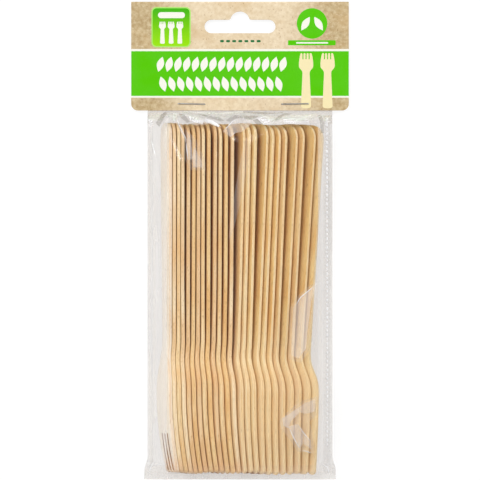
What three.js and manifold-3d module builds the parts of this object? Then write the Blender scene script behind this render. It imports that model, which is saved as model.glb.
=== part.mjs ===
// A retail pack of wooden forks: 24 moulded birch forks standing on edge in a clear
// side-gusseted film bag, whose mouth is closed by a folded kraft card with a hang slot
// and two wire staples.
//
// The pack lies on its back panel. Units are millimetres: X across the pack, Y from the
// bottom seal to the card's fold, Z up from the surface that it lies on. The origin is
// the centre of the pack's footprint.

import * as THREE from "three";
import { mergeVertices } from "three/addons/utils/BufferGeometryUtils.js";
import Module from "manifold-3d";

const wasm = await Module();
wasm.setup();

// Driving dimensions

// One fork, measured flat. "along" runs from the tine tips to the end of the handle.
const FORK_COUNT = 24;
const FORK_LENGTH = 160;
const FORK_THICKNESS = 1.6;
const HEAD_WIDTH = 28; // at the widest point of the head
const HEAD_WIDEST_AT = 36; // along, where the head starts to narrow to the tips
const SHOULDER_LENGTH = 22; // along, from the widest point to the neck
const NECK_WIDTH = 14;
const HANDLE_END_WIDTH = 19.5;
const HANDLE_END_RADIUS = 7.5;
const TINE_COUNT = 4;
const TINE_WIDTH = 4; // at the tips
const SLIT_WIDTH = 2;
const SLIT_LENGTH = 18;

// The pressed bend of the fork, seen from the side.
const NECK_BEND_AT = 62; // along, where the straight handle ends
const NECK_BEND_ANGLE = THREE.MathUtils.degToRad(6.5);
const NECK_BEND_RADIUS = 60;
const BOWL_RADIUS = 165;

// How the forks lie in the bag: each leans on the one to its left, and leans further.
const FIRST_LEAN = THREE.MathUtils.degToRad(12);
const LAST_LEAN = THREE.MathUtils.degToRad(51);
const LEAN_GROWTH = 1.6; // exponent of the growth from the first lean to the last
const FORK_GAP = 0.25; // free space between two forks where they lie closest
const FIRST_FORK_YAW = 0.5; // how far the first handle end stands right of its tips
const HANDLE_GAPS = new Map([
  // fork number: extra space between its handle end and the one to its left
  [5, 0.3],
  [10, 0.4],
  [13, 0.4],
  [14, 2.9],
  [17, 2.7],
  [21, 1.8],
  [23, 1.8],
]);
const FORK_SLIDE = 0.4; // largest lengthwise shift of a fork either way
const SLIDE_STEP = 0.9; // radians of the slide's sine from one fork to the next

// The film bag.
const FILM = 0.2;
const CONTENT_CLEARANCE = 0.3; // between the film and the forks
const SIDE_ROOM = 4.1; // from the forks to the bag's side creases
const GUSSET_FOLD = 2.5; // how far the open gusset folds inwards
const LEFT_CREASE_HEIGHT = 17;
const RIGHT_CREASE_HEIGHT = 12;
const SEAL_LENGTH = 1.8;
const SEAL_HEIGHT = 9; // of the seal's middle above the surface
const EAR_WIDTH = 1.5; // how far the seal stands wider than the bag on each side
const EAR_LENGTH = 15; // along the bag, over which its sides run out to the seal
const TOP_ROOM = 6; // from the handle ends to the card
const MOUTH_INSERT = 28; // length of film held inside the card
const MOUTH_GAP = 0.3; // between the two films at the mouth
const FRONT_CREASES = 11; // lengthwise lines where the front panel rests on a fork

// The folded card.
const CARD_WIDTH = 100;
const CARD_HEIGHT = 50;
const CARD_THICKNESS = 0.4;
const CARD_CORNER_RADIUS = 3;
const CARD_CLEARANCE = 0.1; // between the card and the film inside it
const SLOT_LENGTH = 32.6;
const SLOT_HEIGHT = 6.2;
const SLOT_FROM_FOLD = 14.5; // from the card's fold to the slot's lower edge
const BUMP_RADIUS = 4.5; // the round notch in the slot's upper edge
const BUMP_HEIGHT = 10; // from the slot's lower edge to the notch's top
const BUMP_FILLET = 1;

// The staples.
const WIRE = 0.5;
const CROWN_LENGTH = 12.5;
const CLINCH_LENGTH = 4;
const STAPLE_BEND_RADIUS = 0.6; // outside
const STAPLE_FROM_EDGE = 3; // from the card's lower edge
const STAPLES = [
  { name: "staple_left", x: -22.3 },
  { name: "staple_right", x: 25.3 },
];
const HOLE_CLEARANCE = 0.15; // round a staple leg
const STAPLE_CLEARANCE = 0.05; // between the wire and the card's faces

// Facets.
const OUTLINE_SEGMENTS = 4;
const CARD_SEGMENTS = 4;
const BOWL_SEGMENTS = 8;
const NECK_SEGMENTS = 3;
const HOLE_SIDES = 8;
const CUTTER_REACH = 40; // more than any piece is deep

// Solids

// A closed three.js geometry as a solid that can be joined and cut.
function solidOf(geometry) {
  const bare = geometry.clone();
  bare.deleteAttribute("normal");
  bare.deleteAttribute("uv");
  const merged = mergeVertices(bare, 1e-4);
  return new wasm.Manifold(
    new wasm.Mesh({
      numProp: 3,
      vertProperties: merged.attributes.position.array,
      triVerts: new Uint32Array(merged.index.array),
    }),
  );
}

// A solid back as a three.js geometry.
function geometryOf(solid) {
  const mesh = solid.getMesh();
  return new THREE.BufferGeometry()
    .setAttribute("position", new THREE.BufferAttribute(mesh.vertProperties, 3))
    .setIndex(new THREE.BufferAttribute(mesh.triVerts, 1));
}

function extrude(shape, depth, segments = OUTLINE_SEGMENTS) {
  const options = { depth, bevelEnabled: false, curveSegments: segments };
  return new THREE.ExtrudeGeometry(shape, options);
}

// A solid skinned over rings of equally many points, closed by a flat face at each end.
// The rings stand across y and run clockwise when seen along it.
function loft(rings) {
  const count = rings[0].length;
  const points = rings.flat();
  const faces = [];
  for (let r = 0; r + 1 < rings.length; r++)
    for (let k = 0; k < count; k++) {
      const next = (k + 1) % count;
      const [a, b] = [r * count + k, r * count + next];
      faces.push(a, b, b + count, a, b + count, a + count);
    }
  const flat = (ring) => ring.map((p) => new THREE.Vector2(p.x, p.z));
  const last = (rings.length - 1) * count;
  for (const [a, b, c] of THREE.ShapeUtils.triangulateShape(flat(rings[0]), []))
    faces.push(a, b, c);
  for (const [a, b, c] of THREE.ShapeUtils.triangulateShape(flat(rings.at(-1)), []))
    faces.push(last + a, last + c, last + b);
  return new THREE.BufferGeometry().setFromPoints(points).setIndex(faces);
}

// One fork

// Along the fork, where its handle end is widest.
const HANDLE_WIDEST_AT = FORK_LENGTH - HANDLE_END_RADIUS;

// Lying on edge, the fork touches the surface at its head and at its handle end. This is
// the height of its middle line above that surface, in the plane of the fork.
function axisHeight(along) {
  const fall = (HANDLE_END_WIDTH - HEAD_WIDTH) / 2;
  const share = (along - HEAD_WIDEST_AT) / (HANDLE_WIDEST_AT - HEAD_WIDEST_AT);
  return HEAD_WIDTH / 2 + fall * share;
}

// The outline seen flat: x across the fork, y along it.
function forkOutline() {
  const head = HEAD_WIDTH / 2;
  const neck = NECK_WIDTH / 2;
  const end = HANDLE_END_WIDTH / 2;
  const tip = TINE_WIDTH / 2;
  const pitch = TINE_WIDTH + SLIT_WIDTH;
  const tips = ((TINE_COUNT - 1) * pitch + TINE_WIDTH) / 2;
  const neckAt = HEAD_WIDEST_AT + SHOULDER_LENGTH;
  const cornerX = end - HANDLE_END_RADIUS;
  const shape = new THREE.Shape();
  shape.moveTo(tips, tip);
  shape.quadraticCurveTo(head, HEAD_WIDEST_AT / 2, head, HEAD_WIDEST_AT);
  const bend = SHOULDER_LENGTH / 2;
  shape.bezierCurveTo(head, HEAD_WIDEST_AT + bend, neck, neckAt - bend, neck, neckAt);
  shape.lineTo(end, HANDLE_WIDEST_AT);
  shape.quadraticCurveTo(end, FORK_LENGTH, cornerX, FORK_LENGTH);
  shape.lineTo(-cornerX, FORK_LENGTH);
  shape.quadraticCurveTo(-end, FORK_LENGTH, -end, HANDLE_WIDEST_AT);
  shape.lineTo(-neck, neckAt);
  shape.bezierCurveTo(-neck, neckAt - bend, -head, HEAD_WIDEST_AT + bend, -head, HEAD_WIDEST_AT);
  shape.quadraticCurveTo(-head, HEAD_WIDEST_AT / 2, -tips, tip);
  for (let k = 0; k < TINE_COUNT; k++) {
    const left = -tips + k * pitch;
    const right = left + TINE_WIDTH;
    const next = left + pitch;
    shape.bezierCurveTo(left, -tip / 3, right, -tip / 3, right, tip);
    if (k === TINE_COUNT - 1) break;
    shape.lineTo(right, SLIT_LENGTH - tip / 2);
    shape.bezierCurveTo(right, SLIT_LENGTH, next, SLIT_LENGTH, next, SLIT_LENGTH - tip / 2);
    shape.lineTo(next, tip);
  }
  return shape;
}

// The bend seen from its side, from the tips to the handle: { along, rise, turn } of the
// middle of the wood, with turn the direction in which it runs.
function bendLine() {
  const bowlFrom = NECK_BEND_AT - NECK_BEND_RADIUS * Math.sin(NECK_BEND_ANGLE);
  const bowlDrop = -NECK_BEND_RADIUS * (1 - Math.cos(NECK_BEND_ANGLE));
  const sine = Math.sin(NECK_BEND_ANGLE);
  const tipTurn = Math.asin(bowlFrom / BOWL_RADIUS - sine);
  const line = [];
  for (let k = 0; k <= BOWL_SEGMENTS; k++) {
    const turn = THREE.MathUtils.lerp(tipTurn, -NECK_BEND_ANGLE, k / BOWL_SEGMENTS);
    line.push({
      along: bowlFrom - BOWL_RADIUS * (Math.sin(turn) + sine),
      rise: bowlDrop + BOWL_RADIUS * (Math.cos(NECK_BEND_ANGLE) - Math.cos(turn)),
      turn,
    });
  }
  for (let k = 1; k <= NECK_SEGMENTS; k++) {
    const turn = NECK_BEND_ANGLE * (k / NECK_SEGMENTS - 1);
    line.push({
      along: NECK_BEND_AT + NECK_BEND_RADIUS * Math.sin(turn),
      rise: -NECK_BEND_RADIUS * (1 - Math.cos(turn)),
      turn,
    });
  }
  line.push({ along: FORK_LENGTH, rise: 0, turn: 0 });
  return line;
}

// How far the middle of the wood stands out of the handle's plane.
function riseAt(along) {
  const line = bendLine();
  const next = Math.max(1, line.findIndex((p) => p.along >= along));
  const [a, b] = [line[next - 1], line[next]];
  return THREE.MathUtils.mapLinear(along, a.along, b.along, a.rise, b.rise);
}

// The bent strip that the outline is cut from, as a shape with x along and y out of plane.
function bentStrip() {
  const line = bendLine();
  const past = 1; // each end runs past the outline
  line[0] = { ...line[0], along: line[0].along - past };
  line[0].rise += past * Math.tan(line[0].turn);
  line.at(-1).along += past;
  const side = (p, offset) =>
    new THREE.Vector2(p.along + offset * Math.sin(p.turn), p.rise + offset * Math.cos(p.turn));
  const half = FORK_THICKNESS / 2;
  const lower = line.map((p) => side(p, -half));
  const upper = line.map((p) => side(p, half)).reverse();
  return new THREE.Shape([...lower, ...upper]);
}

// The fork in the frame that it is placed by: its long edge touches the surface along
// x = 0 and the fork lies on the side of -x, y runs from the tips to the handle end, and
// the hollow face of the handle is at z = 0.
function forkGeometry() {
  const outline = extrude(forkOutline(), CUTTER_REACH).translate(0, 0, -CUTTER_REACH / 2);
  const strip = extrude(bentStrip(), CUTTER_REACH).translate(0, 0, -CUTTER_REACH / 2);
  const turned = new THREE.Matrix4().makeBasis(
    new THREE.Vector3(0, 1, 0),
    new THREE.Vector3(0, 0, 1),
    new THREE.Vector3(1, 0, 0),
  );
  strip.applyMatrix4(turned);
  const fork = geometryOf(solidOf(outline).intersect(solidOf(strip)));
  const slope = (axisHeight(0) - axisHeight(FORK_LENGTH)) / FORK_LENGTH;
  fork.rotateZ(-Math.atan(slope));
  fork.computeBoundingBox();
  const { min, max } = fork.boundingBox;
  return fork.translate(-max.x, -min.y, -FORK_THICKNESS / 2);
}

// The forks in the bag

const matte = { metalness: 0, roughness: 0.7 };
const wood = new THREE.MeshStandardMaterial({ color: 0xe3bd85, ...matte });

// Where a fork's touching edge crosses the ends of the pile, and how far it leans.
function forkPlaces() {
  const places = [];
  for (let number = 1; number <= FORK_COUNT; number++) {
    const share = ((number - 1) / Math.max(1, FORK_COUNT - 1)) ** LEAN_GROWTH;
    const sine = THREE.MathUtils.lerp(Math.sin(FIRST_LEAN), Math.sin(LAST_LEAN), share);
    const lean = Math.asin(sine);
    const before = places.at(-1);
    const step = FORK_THICKNESS / Math.cos(lean) + FORK_GAP;
    const gap = HANDLE_GAPS.get(number) ?? 0;
    places.push({
      number,
      lean,
      tipX: before ? before.tipX + step : 0,
      handleX: before ? before.handleX + step + gap : FIRST_FORK_YAW,
      slide: FORK_SLIDE * Math.sin(SLIDE_STEP * number),
    });
  }
  return places;
}

const floor = FILM + CONTENT_CLEARANCE;
const forkEnd = SEAL_LENGTH + FILM + CONTENT_CLEARANCE + FORK_SLIDE;
const packLength = forkEnd + FORK_LENGTH + FORK_SLIDE + TOP_ROOM + CARD_HEIGHT;
const bottom = -packLength / 2;
const cardEdge = packLength / 2 - CARD_HEIGHT;

const forkShape = forkGeometry();
const forks = forkPlaces().map((place) => {
  const fork = new THREE.Mesh(forkShape, wood);
  fork.name = "fork_" + String(place.number).padStart(2, "0");
  const yaw = -Math.atan((place.handleX - place.tipX) / FORK_LENGTH);
  fork.rotation.set(0, Math.PI / 2 + place.lean, yaw, "ZYX");
  fork.position.set(place.tipX, bottom + forkEnd + place.slide, 0);
  fork.position.z = floor - new THREE.Box3().setFromObject(fork, true).min.z;
  return fork;
});
const spread = new THREE.Box3();
for (const fork of forks) spread.expandByObject(fork, true);
const middle = (spread.min.x + spread.max.x) / 2;
for (const fork of forks) {
  fork.position.x -= middle;
  fork.updateMatrixWorld();
}
const bagHalfWidth = (spread.max.x - spread.min.x) / 2 + SIDE_ROOM;

// The point of a fork's upper edge at a place along it. side is -1 on its left face and
// 1 on its right face.
function upperEdge(number, along, halfWidth, side) {
  const point = new THREE.Vector3(
    -(axisHeight(along) + halfWidth),
    along,
    riseAt(along) - FORK_THICKNESS / 2 + (side * FORK_THICKNESS) / 2,
  );
  return forks[number - 1].localToWorld(point);
}

// The film bag

// Heights of the layers where the card holds the bag's mouth.
const cardBack = WIRE + STAPLE_CLEARANCE;
const mouthBack = cardBack + CARD_THICKNESS + CARD_CLEARANCE;
const mouthFront = mouthBack + 2 * FILM + MOUTH_GAP;
const cardFront = mouthFront + CARD_CLEARANCE + CARD_THICKNESS;

// One section of the bag across its length: the back panel, the right gusset, the front
// panel from right to left, and the left gusset.
function bagRing(y, section) {
  const { half, fold, back, right, left, front } = section;
  const point = (x, z) => new THREE.Vector3(x, y, z);
  return [
    point(-half, back),
    point(-half + fold, (back + left) / 2),
    point(-half, left),
    ...front.map(([x, z]) => point(x, z)),
    point(half, right),
    point(half - fold, (back + right) / 2),
    point(half, back),
  ];
}

// A ring moved towards its own inside by a distance, in its own plane.
function insetRing(ring, distance) {
  const count = ring.length;
  return ring.map((p, k) => {
    const before = ring[(k + count - 1) % count];
    const after = ring[(k + 1) % count];
    const inward = (from, to) => new THREE.Vector2(to.z - from.z, from.x - to.x).normalize();
    const [a, b] = [inward(before, p), inward(p, after)];
    const mitre = a.clone().add(b).multiplyScalar(distance / (1 + a.dot(b)));
    return new THREE.Vector3(p.x + mitre.x, p.y, p.z + mitre.y);
  });
}

// The numbers of the forks that the front panel rests on, spread evenly over the row.
const restedForks = Array.from({ length: FRONT_CREASES }, (_, k) =>
  Math.round(1 + (k * (FORK_COUNT - 1)) / (FRONT_CREASES - 1)),
);

// The front panel where it lies on the forks, from left to right: over the left corner of
// each fork that it rests on, and round the right corner of the last one.
function frontOverForks(along, halfWidth) {
  const room = CONTENT_CLEARANCE + FILM;
  const points = restedForks.map((number, k) => {
    const edge = upperEdge(number, along, halfWidth, -1);
    return [edge.x - (k === 0 ? room : 0), edge.z + 2 * room];
  });
  const corner = upperEdge(FORK_COUNT, along, halfWidth, 1);
  points.push([corner.x + 2 * room, corner.z + room]);
  return points;
}

// The front panel where it is flat, with as many points spread evenly.
function flatFront(half, z) {
  const count = FRONT_CREASES + 1;
  return Array.from({ length: count }, (_, k) => [half * ((2 * k + 2) / (count + 1) - 1), z]);
}

// The sections from the bottom of the bag to the end of its mouth.
function bagRings() {
  const tips = ((TINE_COUNT - 1) * (TINE_WIDTH + SLIT_WIDTH) + TINE_WIDTH) / 2;
  const sides = { back: 0, left: LEFT_CREASE_HEIGHT, right: RIGHT_CREASE_HEIGHT };
  const body = { half: bagHalfWidth, fold: GUSSET_FOLD, ...sides };
  const start = bottom + forkEnd;
  const wall = bottom + SEAL_LENGTH;
  const mouth = {
    half: bagHalfWidth,
    fold: 0,
    back: mouthBack,
    left: mouthFront,
    right: mouthFront,
    front: flatFront(bagHalfWidth, mouthFront),
  };
  const over = (along, halfWidth) => ({ ...body, front: frontOverForks(along, halfWidth) });
  const atTips = over(0, tips);
  const widened = { ...atTips, half: bagHalfWidth + EAR_WIDTH, fold: 0 };
  return [
    bagRing(wall, widened),
    bagRing(start + EAR_LENGTH, over(EAR_LENGTH, HEAD_WIDTH / 2)),
    bagRing(start + HEAD_WIDEST_AT, over(HEAD_WIDEST_AT, HEAD_WIDTH / 2)),
    bagRing(start + HANDLE_WIDEST_AT, over(HANDLE_WIDEST_AT, HANDLE_END_WIDTH / 2)),
    bagRing(start + FORK_LENGTH + FORK_SLIDE, over(FORK_LENGTH, HANDLE_END_WIDTH / 2)),
    bagRing(cardEdge, mouth),
    bagRing(cardEdge + MOUTH_INSERT, mouth),
  ];
}

// Cutters for the holes that the staple legs pass through.
function legHoles() {
  const radius = WIRE / 2 + HOLE_CLEARANCE;
  return STAPLES.flatMap(({ x }) =>
    [-1, 1].map((side) =>
      new THREE.CylinderGeometry(radius, radius, CUTTER_REACH, HOLE_SIDES)
        .rotateX(Math.PI / 2)
        .translate(x + (side * CROWN_LENGTH) / 2, cardEdge + STAPLE_FROM_EDGE, 0),
    ),
  );
}

function bagGeometry() {
  const rings = bagRings();
  const past = 1; // the hollow runs out of the mouth by this much
  const hollow = rings.map((ring) => insetRing(ring, FILM));
  const shift = (ring, distance) => ring.forEach((p) => (p.y += distance));
  const steep = Math.atan2(LEFT_CREASE_HEIGHT, TOP_ROOM);
  shift(hollow.at(0), FILM);
  shift(hollow.at(-3), -FILM * Math.tan(steep / 2));
  shift(hollow.at(-2), -FILM * Math.tan(steep / 2));
  shift(hollow.at(-1), past);
  const seal = new THREE.BoxGeometry(
    2 * (bagHalfWidth + EAR_WIDTH),
    SEAL_LENGTH + FILM / 2,
    2 * FILM,
  ).translate(0, bottom + (SEAL_LENGTH + FILM / 2) / 2, SEAL_HEIGHT);
  let bag = solidOf(loft(rings)).add(solidOf(seal)).subtract(solidOf(loft(hollow)));
  for (const hole of legHoles()) bag = bag.subtract(solidOf(hole));
  return geometryOf(bag);
}

// The card

// The hang slot: a bar with round ends and a round notch in the middle of its upper edge,
// with x and y from the middle of its lower edge.
function slotPath(x, y) {
  const end = SLOT_HEIGHT / 2;
  const reach = SLOT_LENGTH / 2 - end;
  const bump = BUMP_HEIGHT - BUMP_RADIUS; // height of the notch's centre
  const rise = SLOT_HEIGHT + BUMP_FILLET - bump;
  const apart = BUMP_RADIUS + BUMP_FILLET;
  const filletX = Math.sqrt(apart ** 2 - rise ** 2);
  const filletY = y + SLOT_HEIGHT + BUMP_FILLET;
  const turn = Math.atan2(rise, filletX);
  const path = new THREE.Path();
  path.absarc(x - reach, y + end, end, -Math.PI / 2, Math.PI / 2, true);
  path.absarc(x - filletX, filletY, BUMP_FILLET, -Math.PI / 2, -turn, false);
  path.absarc(x, y + bump, BUMP_RADIUS, Math.PI - turn, turn, true);
  path.absarc(x + filletX, filletY, BUMP_FILLET, Math.PI + turn, 1.5 * Math.PI, false);
  path.absarc(x + reach, y + end, end, Math.PI / 2, -Math.PI / 2, true);
  return path;
}

// The card seen from the front, with the slot.
function cardOutline() {
  const half = CARD_WIDTH / 2;
  const top = cardEdge + CARD_HEIGHT;
  const r = CARD_CORNER_RADIUS;
  const shape = new THREE.Shape();
  shape.moveTo(-half, top);
  shape.lineTo(-half, cardEdge + r);
  shape.absarc(-half + r, cardEdge + r, r, Math.PI, 1.5 * Math.PI);
  shape.absarc(half - r, cardEdge + r, r, 1.5 * Math.PI, 2 * Math.PI);
  shape.lineTo(half, top);
  shape.holes.push(slotPath(0, top - SLOT_FROM_FOLD));
  return shape;
}

// The card seen from its side: two flaps and the fold between them, with x as height and
// y along the pack.
function cardSection() {
  const fold = (cardFront - cardBack) / 2;
  const foldAt = cardEdge + CARD_HEIGHT - fold;
  const shape = new THREE.Shape();
  shape.moveTo(cardFront, cardEdge);
  shape.lineTo(cardFront, foldAt);
  shape.absarc(cardBack + fold, foldAt, fold, 0, Math.PI);
  shape.lineTo(cardBack, cardEdge);
  shape.lineTo(cardBack + CARD_THICKNESS, cardEdge);
  shape.absarc(cardBack + fold, foldAt, fold - CARD_THICKNESS, Math.PI, 0, true);
  shape.lineTo(cardFront - CARD_THICKNESS, cardEdge);
  return shape;
}

function cardGeometry() {
  const outline = extrude(cardOutline(), CUTTER_REACH, CARD_SEGMENTS);
  outline.translate(0, 0, -CUTTER_REACH / 2);
  const folded = extrude(cardSection(), CARD_WIDTH, CARD_SEGMENTS);
  folded.translate(0, 0, -CARD_WIDTH / 2).rotateY(-Math.PI / 2);
  let card = solidOf(outline).intersect(solidOf(folded));
  for (const hole of legHoles()) card = card.subtract(solidOf(hole));
  return geometryOf(card);
}

// The staples

// A staple bent from square wire: the crown on the front, two legs through the card and
// the film, and the ends clinched towards each other behind.
function stapleGeometry() {
  const out = (CROWN_LENGTH + WIRE) / 2;
  const within = out - WIRE;
  const end = out - CLINCH_LENGTH;
  const top = cardFront + STAPLE_CLEARANCE + WIRE;
  const r = STAPLE_BEND_RADIUS;
  const shape = new THREE.Shape();
  shape.moveTo(-end, 0);
  shape.lineTo(-end, WIRE);
  shape.lineTo(-within, WIRE);
  shape.lineTo(-within, top - WIRE);
  shape.lineTo(within, top - WIRE);
  shape.lineTo(within, WIRE);
  shape.lineTo(end, WIRE);
  shape.lineTo(end, 0);
  shape.absarc(out - r, r, r, -Math.PI / 2, 0);
  shape.absarc(out - r, top - r, r, 0, Math.PI / 2);
  shape.absarc(-out + r, top - r, r, Math.PI / 2, Math.PI);
  shape.absarc(-out + r, r, r, Math.PI, 1.5 * Math.PI);
  return extrude(shape, WIRE).translate(0, 0, -WIRE / 2).rotateX(Math.PI / 2);
}

// The pack

const film = new THREE.MeshStandardMaterial({
  color: 0xf2f3f4,
  roughness: 0.08,
  metalness: 0,
  transparent: true,
  opacity: 0.2,
});
const kraft = new THREE.MeshStandardMaterial({ color: 0xd8c49c, ...matte });
const steel = new THREE.MeshStandardMaterial({ color: 0x9a9a9a, roughness: 0.3, metalness: 1 });

const pack = new THREE.Group();
pack.add(...forks);

function add(name, geometry, material) {
  const mesh = new THREE.Mesh(geometry, material);
  mesh.name = name;
  pack.add(mesh);
  return mesh;
}

add("film_bag", bagGeometry(), film);
add("header_card", cardGeometry(), kraft);
for (const { name, x } of STAPLES)
  add(name, stapleGeometry(), steel).position.set(x, cardEdge + STAPLE_FROM_EDGE, 0);

export default pack;
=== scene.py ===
import math
import random

import bmesh
import bpy
from mathutils import Matrix, Vector, noise
from mathutils.geometry import delaunay_2d_cdt


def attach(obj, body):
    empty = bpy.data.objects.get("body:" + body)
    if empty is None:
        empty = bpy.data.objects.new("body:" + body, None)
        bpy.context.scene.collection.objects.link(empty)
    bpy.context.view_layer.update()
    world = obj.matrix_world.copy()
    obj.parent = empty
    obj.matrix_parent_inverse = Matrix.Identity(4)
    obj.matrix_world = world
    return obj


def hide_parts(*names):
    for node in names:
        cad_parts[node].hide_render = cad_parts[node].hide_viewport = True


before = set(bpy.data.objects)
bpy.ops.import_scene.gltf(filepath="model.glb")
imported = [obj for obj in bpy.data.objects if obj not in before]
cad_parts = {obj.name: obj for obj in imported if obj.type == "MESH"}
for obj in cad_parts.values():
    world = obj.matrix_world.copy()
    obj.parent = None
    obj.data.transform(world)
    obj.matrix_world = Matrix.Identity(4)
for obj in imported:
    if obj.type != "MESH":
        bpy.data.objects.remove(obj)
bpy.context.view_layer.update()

# Sizes in millimetres, as in the part's source. Meshes are built in millimetres and
# scaled to metres at their end.
MM = 0.001

# One fork, measured flat: "at" counts along it from the tips of the tines.
FORK_COUNT = 24
FORK_LENGTH = 160
FORK_THICKNESS = 1.6
HEAD_WIDTH = 28
HEAD_WIDEST_AT = 36
SHOULDER_LENGTH = 22
NECK_WIDTH = 14
HANDLE_END_WIDTH = 19.5
HANDLE_END_RADIUS = 7.5
TINE_COUNT = 4
TINE_WIDTH = 4
SLIT_WIDTH = 2
SLIT_LENGTH = 18
NECK_BEND_AT = 62
NECK_BEND_ANGLE = math.radians(6.5)
NECK_BEND_RADIUS = 60
BOWL_RADIUS = 165

# How the forks lie: each leans on the one to its left, and leans further.
FIRST_LEAN = math.radians(12)
LAST_LEAN = math.radians(51)
LEAN_GROWTH = 1.6
FORK_GAP = 0.25
FIRST_FORK_YAW = 0.5
HANDLE_GAPS = {5: 0.3, 10: 0.4, 13: 0.4, 14: 2.9, 17: 2.7, 21: 1.8, 23: 1.8}
FORK_SLIDE = 0.4
SLIDE_STEP = 0.9

# The film bag.
FILM = 0.2
CONTENT_CLEARANCE = 0.3
SIDE_ROOM = 4.1
GUSSET_FOLD = 2.5
LEFT_CREASE_HEIGHT = 17
RIGHT_CREASE_HEIGHT = 12
SEAL_LENGTH = 1.8
SEAL_HEIGHT = 9
EAR_WIDTH = 1.5
TOP_ROOM = 6
MOUTH_INSERT = 28
MOUTH_GAP = 0.3

# The card and the staples.
CARD_WIDTH = 100
CARD_HEIGHT = 50
CARD_THICKNESS = 0.4
CARD_CORNER_RADIUS = 3
CARD_CLEARANCE = 0.1
SLOT_LENGTH = 32.6
SLOT_HEIGHT = 6.2
SLOT_FROM_FOLD = 14.5
BUMP_RADIUS = 4.5
BUMP_HEIGHT = 10
BUMP_FILLET = 1
WIRE = 0.5
CROWN_LENGTH = 12.5
CLINCH_LENGTH = 4
STAPLE_FROM_EDGE = 3
STAPLES = {"staple_left": -22.3, "staple_right": 25.3}
STAPLE_CLEARANCE = 0.05

# Places that follow from them, along the pack and above the surface that it lies on.
PACK_START = SEAL_LENGTH + FILM + CONTENT_CLEARANCE + FORK_SLIDE
PACK_LENGTH = PACK_START + FORK_LENGTH + FORK_SLIDE + TOP_ROOM + CARD_HEIGHT
BOTTOM = -PACK_LENGTH / 2
TIPS = BOTTOM + PACK_START
CARD_TOP = PACK_LENGTH / 2
CARD_EDGE = CARD_TOP - CARD_HEIGHT
CARD_BACK = WIRE + STAPLE_CLEARANCE
MOUTH_BACK = CARD_BACK + CARD_THICKNESS + CARD_CLEARANCE
MOUTH_FRONT = MOUTH_BACK + 2 * FILM + MOUTH_GAP
CARD_FRONT = MOUTH_FRONT + CARD_CLEARANCE + CARD_THICKNESS
HANDLE_WIDEST_AT = FORK_LENGTH - HANDLE_END_RADIUS
HANDLE_EDGE = 20  # from the fork's long lower edge to the upper edge of its handle

# The layout of the print and of the film's folds counts in steps of this many
# millimetres, with its middle and the card's top at these numbers.
STEP = 0.46
LAYOUT_MIDDLE = 240
LAYOUT_TOP = 2
CORNERS = [(-1, -1), (1, -1), (1, 1), (-1, 1)]  # of a square round its middle


# Materials


class Nodes:
    """Short calls for building the node tree of a material or of the world. A place is in
    metres, from the object's coordinates or from an attribute that the mesh keeps."""

    def __init__(self, name, attribute=None, owners=bpy.data.materials, kind="Material"):
        self.owner = owners.new(name)
        self.owner.use_nodes = True
        self.tree = self.owner.node_tree
        self.tree.nodes.clear()
        self.output = self.add("ShaderNodeOutput" + kind)
        if attribute:
            kept = self.add("ShaderNodeAttribute", attribute_name=attribute)
            self.place = kept.outputs["Vector"]
        else:
            self.place = self.add("ShaderNodeTexCoord").outputs["Object"]

    def add(self, kind, inputs=None, **settings):
        """A node, whose inputs are numbers, colours or the outputs of other nodes."""
        node = self.tree.nodes.new(kind)
        for key, value in settings.items():
            setattr(node, key, value)
        for key, value in (inputs or {}).items():
            self.set(node.inputs[key], value)
        return node

    def set(self, socket, value):
        """Link an output to a socket, or give the socket a number or a colour."""
        if isinstance(value, bpy.types.NodeSocket):
            self.tree.links.new(value, socket)
        elif socket.type == "RGBA" and len(value) == 3:
            socket.default_value = (*value, 1)
        else:
            socket.default_value = value

    def math(self, sign, a, b=0.0, clamp=False):
        node = self.add("ShaderNodeMath", {0: a, 1: b}, operation=sign, use_clamp=clamp)
        return node.outputs[0]

    def span(self, value, low, high, to_low=0.0, to_high=1.0):
        """A value taken from one range to another, and held at its ends."""
        inputs = {"Value": value, 1: low, 2: high, 3: to_low, 4: to_high}
        return self.add("ShaderNodeMapRange", inputs).outputs["Result"]

    def mix(self, fac, a, b, blend="MIX"):
        inputs = {"Factor": fac, "A": a, "B": b}
        node = self.add("ShaderNodeMix", inputs, data_type="RGBA", blend_type=blend)
        return node.outputs["Result"]

    def axis(self, name):
        return self.add("ShaderNodeSeparateXYZ", {"Vector": self.place}).outputs[name]

    def noise(self, stretch, shift, scale, detail=3.0, roughness=0.55):
        """Noise over the place in millimetres, which is stretched and shifted first."""
        stretch = [1000 * share for share in stretch]
        mapping = {"Vector": self.place, "Scale": stretch, "Location": shift}
        vector = self.add("ShaderNodeMapping", mapping).outputs["Vector"]
        inputs = {"Vector": vector, "Scale": scale, "Detail": detail, "Roughness": roughness}
        return self.add("ShaderNodeTexNoise", inputs).outputs["Fac"]

    def bump(self, height, strength, distance):
        inputs = {"Height": height, "Strength": strength, "Distance": distance * MM}
        return self.add("ShaderNodeBump", inputs).outputs["Normal"]

    def blend(self, fac, first, second):
        """Two shaders mixed, with the share of the second."""
        inputs = {0: fac, 1: first.outputs[0], 2: second.outputs[0]}
        return self.add("ShaderNodeMixShader", inputs)

    def glossy(self, colour, roughness, normal, **inputs):
        """The usual shader, with the name of each further input in the form Its_Name."""
        inputs = {key.replace("_", " "): value for key, value in inputs.items()}
        inputs |= {"Base Color": colour, "Roughness": roughness, "Normal": normal}
        return self.add("ShaderNodeBsdfPrincipled", inputs)

    def surface(self, shader):
        """Use a shader for the surface, and give back the finished material or world."""
        self.tree.links.new(shader.outputs[0], self.output.inputs["Surface"])
        return self.owner


def srgb(r, g, b):
    """A colour given by its usual 0 to 255 values, as the linear values that nodes take."""

    def linear(c):
        c /= 255
        return c / 12.92 if c <= 0.04045 else ((c + 0.055) / 1.055) ** 2.4

    return (linear(r), linear(g), linear(b))


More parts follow.
